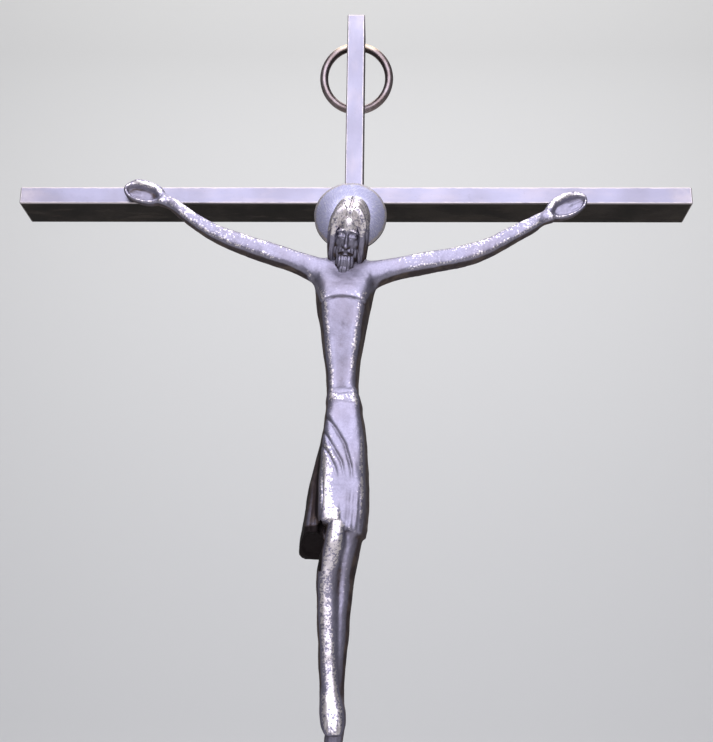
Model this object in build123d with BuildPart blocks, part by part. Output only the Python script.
"""Wall crucifix in patinated bronze.

A flat bar laid on edge makes the crossbar and a shorter length of the same bar
stands on it. There is no bar below: the slender cast figure itself is the lower
arm of the cross. Millimetres, Z up, the wall behind the cross at Y = 0 and the
figure towards -Y. The origin is the middle of the crossbar's back face.
"""

import os

from build123d import *

os.makedirs("parts", exist_ok=True)

# Bar stock, laid so that its narrow face looks forward.
bar_face = 5.0
bar_depth = 12.0
bar_edge = 0.25

# Crossbar and the upright that stands on its middle.
crossbar_length = 184.0
upright_top = 58.0
tenon_width = 3.0
tenon_depth = 7.0
tenon_length = 3.5

# Hanging ring and the cross hole near the top of the upright.
ring_outer = 21.5
ring_wire = 2.4
ring_hole = 3.5
ring_hole_height = 52.8
ring_hole_from_back = 3.0
ring_lift = 0.19
ring_lean = 13.8

# Halo disc behind the head.
halo_radius = 9.8
halo_thickness = 1.4
halo_rim = 0.9
halo_dish = 0.35
halo_x = -0.8
halo_height = -6.8
halo_peg = 1.25

# Brass rivets that hold the palms against the crossbar.
rivet_radius = 0.75
rivet_head_radius = 1.0
rivet_head_depth = 0.7
rivet_into_palm = 1.7
left_palm = (-57.0, -0.3)
right_palm = (60.0, -1.2)

front = -bar_depth
halo_front = front - halo_thickness


# --- Crossbar -------------------------------------------------------------

with BuildPart() as crossbar:
    with Locations((0, -bar_depth / 2, 0)):
        Box(crossbar_length, bar_depth, bar_face)
    chamfer(crossbar.edges(), bar_edge)
    # Mortise in the top face for the stub tenon of the upright.
    with BuildSketch(Plane.XY.offset(bar_face / 2)):
        with Locations((0, -bar_depth / 2)):
            Rectangle(tenon_width, tenon_depth)
    extrude(amount=-tenon_length, mode=Mode.SUBTRACT)
    # Rivet holes from front to back, countersunk behind.
    for x, z in (left_palm, right_palm):
        with Locations(Location((x, 0, z), (90, 0, 0))):
            Cylinder(
                rivet_radius,
                bar_depth,
                align=(Align.CENTER, Align.CENTER, Align.MIN),
                mode=Mode.SUBTRACT,
            )
            Cone(
                rivet_head_radius,
                rivet_radius,
                rivet_head_depth,
                align=(Align.CENTER, Align.CENTER, Align.MIN),
                mode=Mode.SUBTRACT,
            )

crossbar.part.label = "crossbar"
export_step(crossbar.part, "parts/crossbar.step")


# --- Upright --------------------------------------------------------------

with BuildPart() as upright:
    height = upright_top - bar_face / 2
    with Locations((0, -bar_depth / 2, bar_face / 2 + height / 2)):
        Box(bar_face, bar_depth, height)
    standing_edges = upright.edges().filter_by(Axis.Z)
    top_edges = upright.faces().sort_by(Axis.Z)[-1].edges()
    chamfer(standing_edges + top_edges, bar_edge)
    # Stub tenon let into the crossbar and soldered.
    with BuildSketch(Plane.XY.offset(bar_face / 2)):
        with Locations((0, -bar_depth / 2)):
            Rectangle(tenon_width, tenon_depth)
    extrude(amount=-tenon_length)
    # Cross hole that the hanging ring swings in.
    with Locations(Location((0, -ring_hole_from_back, ring_hole_height), (0, 90, 0))):
        Cylinder(ring_hole / 2, bar_face * 2, mode=Mode.SUBTRACT)

upright.part.label = "upright"
export_step(upright.part, "parts/upright.step")


# --- Hanging ring ---------------------------------------------------------

# The ring threads the cross hole at its top and its bottom leans on the back of
# the upright, so the whole ring tilts a little way out behind the cross.
with BuildPart() as hanging_ring:
    bend_radius = (ring_outer - ring_wire) / 2
    hinge = Location((0, -ring_hole_from_back, ring_hole_height), (ring_lean, 0, 0))
    with Locations(hinge * Location((0, 0, ring_lift - bend_radius), (90, 0, 0))):
        Torus(bend_radius, ring_wire / 2)

hanging_ring.part.label = "hanging_ring"
export_step(hanging_ring.part, "parts/hanging_ring.step")


# --- Halo -----------------------------------------------------------------

with BuildPart() as halo:
    face_forward = Plane(
        origin=(halo_x, front, halo_height), x_dir=(1, 0, 0), z_dir=(0, -1, 0)
    )
    with BuildSketch(face_forward):
        Circle(halo_radius)
    extrude(amount=halo_thickness)
    chamfer(halo.edges().sort_by(Axis.Y)[0], bar_edge)
    # The beaten field is a little lower than the rim.
    with BuildSketch(face_forward.offset(halo_thickness)):
        Circle(halo_radius - halo_rim)
    extrude(amount=-halo_dish, mode=Mode.SUBTRACT)
    # Hole for the peg behind the head.
    with BuildSketch(face_forward):
        Circle(halo_peg)
    extrude(amount=halo_thickness, mode=Mode.SUBTRACT)

halo.part.label = "halo"
export_step(halo.part, "parts/halo.step")


# --- Rivets ---------------------------------------------------------------

with BuildPart() as palm_rivets:
    for x, z in (left_palm, right_palm):
        with Locations(Location((x, 0, z), (90, 0, 0))):
            Cylinder(
                rivet_radius,
                bar_depth + rivet_into_palm,
                align=(Align.CENTER, Align.CENTER, Align.MIN),
            )
            Cone(
                rivet_head_radius,
                rivet_radius,
                rivet_head_depth,
                align=(Align.CENTER, Align.CENTER, Align.MIN),
            )

palm_rivets.part.label = "palm_rivets"
export_step(palm_rivets.part, "parts/palm_rivets.step")


# --- Cast figure ----------------------------------------------------------


def oval_loft(sections):
    """Lofts level ovals given as height, x, y, half width, half depth."""
    with BuildPart() as body:
        for height, x, y, half_width, half_depth in sections:
            with BuildSketch(Plane.XY.offset(height)):
                with Locations((x, y)):
                    Ellipse(half_width, half_depth)
        loft()
    return body.part


def limb_loft(stations):
    """Lofts ovals along a limb given as x, y, z, half height, half depth.

    Each oval stands square to the way from the station before to the one after.
    """
    points = [Vector(x, y, z) for x, y, z, up, deep in stations]
    with BuildPart() as limb:
        for number, (x, y, z, up, deep) in enumerate(stations):
            before = points[max(number - 1, 0)]
            after = points[min(number + 1, len(points) - 1)]
            along = (after - before).normalized()
            square = Plane(origin=(x, y, z), x_dir=(0, 1, 0), z_dir=along)
            with BuildSketch(square):
                Ellipse(deep, up)
        loft()
    return limb.part


# Neck, trunk and wrapped cloth, from the pit of the neck to the cloth's hem.
trunk = [
    (-17.5, -1.6, -15.6, 2.6, 2.2),
    (-20.5, -1.6, -15.9, 5.2, 3.2),
    (-24.0, -1.8, -16.3, 8.0, 4.2),
    (-29.0, -1.9, -16.9, 7.9, 5.0),
    (-35.0, -2.0, -17.1, 7.0, 5.1),
    (-42.0, -2.2, -16.9, 6.2, 4.7),
    (-50.0, -2.2, -16.3, 4.7, 4.1),
    (-56.0, -2.1, -16.0, 4.0, 3.9),
    (-62.0, -2.1, -16.4, 4.7, 4.5),
    (-70.0, -2.0, -17.0, 5.6, 5.3),
    (-80.0, -1.9, -17.6, 6.2, 6.0),
    (-88.0, -1.9, -18.0, 6.1, 6.1),
    (-93.0, -1.9, -18.1, 5.7, 5.9),
]

# Rolled top of the cloth at the waist and its loose end outside the front leg.
waist_roll = [
    (-56.6, -2.1, -16.0, 3.9, 3.8),
    (-57.6, -2.1, -16.2, 4.7, 4.6),
    (-59.8, -2.1, -16.3, 4.9, 4.8),
    (-61.4, -2.1, -16.4, 4.5, 4.3),
]
loose_end = [
    (-68.0, -5.6, -14.6, 1.4, 2.8),
    (-76.0, -7.2, -14.0, 1.5, 3.6),
    (-84.0, -8.7, -13.5, 1.8, 4.2),
    (-92.0, -10.0, -13.0, 2.2, 4.6),
    (-99.3, -10.5, -12.6, 2.3, 4.8),
]
fold_radius = 0.6
cloth_folds = [
    ((-6.0, -18.5, -64.5), (-3.4, -22.0, -70.0), (0.6, -23.2, -79.0)),
    ((-6.7, -18.6, -69.0), (-4.0, -22.4, -75.0), (-0.6, -23.5, -84.0)),
    ((-7.2, -18.6, -73.5), (-5.0, -22.4, -79.0), (-2.4, -23.8, -87.5)),
]

# Bent front leg and the leg behind it, knee to ankle.
front_leg = [
    (-86.0, -4.0, -19.4, 3.6, 4.4),
    (-95.0, -3.0, -21.0, 3.4, 4.0),
    (-104.0, -4.1, -18.9, 2.9, 3.8),
    (-114.0, -4.5, -17.2, 2.8, 3.6),
    (-124.0, -4.5, -16.2, 2.4, 2.9),
    (-132.0, -4.1, -15.9, 2.2, 2.4),
]
back_leg = [
    (-86.0, 0.7, -16.6, 3.4, 4.4),
    (-96.0, 0.5, -16.8, 3.2, 4.0),
    (-106.0, -0.2, -15.9, 3.0, 3.7),
    (-116.0, -0.7, -15.0, 2.6, 3.3),
    (-126.0, -1.3, -14.6, 2.1, 2.6),
    (-132.0, -1.7, -14.8, 1.9, 2.2),
]
front_foot = [
    (-130.0, -4.2, -15.8, 2.1, 2.3),
    (-134.5, -3.9, -16.9, 2.4, 2.6),
    (-138.5, -3.6, -18.6, 2.3, 2.0),
    (-141.6, -3.3, -19.8, 1.8, 1.3),
]
back_foot = [
    (-130.0, -1.7, -14.8, 1.9, 2.2),
    (-134.5, -1.6, -15.2, 2.1, 2.4),
    (-138.5, -2.2, -15.2, 2.3, 2.2),
    (-142.5, -2.9, -14.9, 2.3, 1.9),
    (-146.0, -2.9, -14.5, 1.6, 1.2),
]

# Arms from inside the shoulder to the heel of the hand.
left_arm = [
    (-4.0, -16.0, -24.4, 3.6, 3.0),
    (-10.1, -15.6, -23.2, 3.2, 2.9),
    (-19.8, -15.3, -19.5, 2.8, 2.7),
    (-26.3, -15.2, -17.2, 2.8, 2.6),
    (-32.9, -15.0, -14.6, 2.6, 2.5),
    (-37.9, -14.8, -12.0, 2.3, 2.3),
    (-43.0, -14.5, -8.7, 2.1, 2.1),
    (-47.8, -14.3, -4.9, 1.9, 1.9),
    (-52.0, -14.2, -2.2, 2.1, 1.9),
]
right_arm = [
    (0.5, -16.0, -25.0, 3.6, 3.0),
    (6.6, -15.6, -24.4, 3.2, 2.9),
    (13.1, -15.4, -22.7, 2.8, 2.7),
    (22.7, -15.3, -20.8, 2.9, 2.6),
    (29.0, -15.2, -19.5, 2.8, 2.6),
    (35.4, -15.0, -17.2, 2.6, 2.5),
    (42.0, -14.7, -13.4, 2.4, 2.3),
    (48.5, -14.4, -9.6, 2.1, 2.1),
    (53.0, -14.2, -7.0, 2.3, 1.9),
]

# Head bowed forward and a little to one side, with the long hair around it.
head = [
    (-4.6, -0.8, -18.4, 2.2, 2.2),
    (-6.0, -0.8, -19.0, 3.9, 4.0),
    (-9.5, -0.9, -20.0, 4.8, 5.3),
    (-14.0, -1.1, -20.3, 4.6, 5.4),
    (-18.5, -1.5, -20.4, 3.7, 4.5),
    (-22.5, -2.2, -20.8, 2.5, 3.1),
    (-26.2, -2.8, -21.4, 1.3, 1.5),
]
hair = [
    (-4.0, -0.8, -16.6, 2.4, 1.7),
    (-6.0, -0.8, -16.6, 4.6, 3.2),
    (-12.0, -0.9, -16.8, 5.6, 3.4),
    (-18.0, -1.2, -17.0, 5.4, 3.4),
    (-23.0, -1.5, -17.6, 4.9, 3.0),
]

# Oval dished hands: middle x and height, tilt, half length and half width.
hand_depth = 3.4
dish_depth = 1.3
dish_rim = 0.8
hands = [
    (-56.8, -0.5, -14.0, 6.0, 3.3),
    (57.2, -4.4, 24.0, 6.3, 3.5),
]

cloth_and_trunk = [oval_loft(part) for part in (trunk, waist_roll, loose_end)]
legs = [oval_loft(part) for part in (front_leg, back_leg, front_foot, back_foot)]
head_and_hair = [oval_loft(part) for part in (hair, head)]
arms = [limb_loft(part) for part in (left_arm, right_arm)]

with BuildPart() as figure:
    add(cloth_and_trunk)
    add(legs)
    add(arms)
    add(head_and_hair)
    # Nose and brow of the plain cast face.
    with BuildSketch(Plane.XY.offset(-12.0)):
        with Locations((-1.0, -24.3)):
            Ellipse(0.5, 0.8)
    with BuildSketch(Plane.XY.offset(-16.0)):
        with Locations((-1.3, -24.9)):
            Ellipse(0.9, 1.1)
    loft()
    # Folds pulled slantwise across the cloth.
    for hip, middle, end in cloth_folds:
        with BuildLine() as fold_line:
            Spline(hip, middle, end)
        with BuildSketch(Plane(origin=fold_line.line @ 0, z_dir=fold_line.line % 0)):
            Circle(fold_radius)
        sweep(path=fold_line.line)
    # Open hands lying against the front of the crossbar.
    for x, height, tilt, half_length, half_width in hands:
        palm = Plane(
            origin=(x, front, height),
            x_dir=Vector(1, 0, 0).rotate(Axis.Y, -tilt),
            z_dir=(0, -1, 0),
        )
        with BuildSketch(palm):
            Ellipse(half_length * 0.86, half_width * 0.78)
        with BuildSketch(palm.offset(hand_depth * 0.55)):
            Ellipse(half_length, half_width)
        with BuildSketch(palm.offset(hand_depth)):
            Ellipse(half_length * 0.93, half_width * 0.88)
        loft()
        with BuildSketch(palm.offset(hand_depth)):
            Ellipse(half_length * 0.93 - dish_rim, half_width * 0.88 - dish_rim)
        with BuildSketch(palm.offset(hand_depth - dish_depth)):
            Ellipse(half_length * 0.5, half_width * 0.4)
        loft(mode=Mode.SUBTRACT)
    # Blind holes for the rivets.
    for x, z in (left_palm, right_palm):
        with Locations(Location((x, front, z), (90, 0, 0))):
            Cylinder(
                rivet_radius,
                rivet_into_palm,
                align=(Align.CENTER, Align.CENTER, Align.MIN),
                mode=Mode.SUBTRACT,
            )
    # Boss behind the head, the seat for the halo, and the peg through it.
    with BuildSketch(face_forward.offset(halo_thickness)):
        Circle(halo_peg * 2.4)
    extrude(amount=4.0)
    with BuildSketch(face_forward):
        Circle(halo_radius + bar_edge)
    extrude(amount=halo_thickness, mode=Mode.SUBTRACT)
    with BuildSketch(face_forward):
        Circle(halo_peg)
    extrude(amount=halo_thickness)

figure.part.label = "figure"
export_step(figure.part, "parts/figure.step")
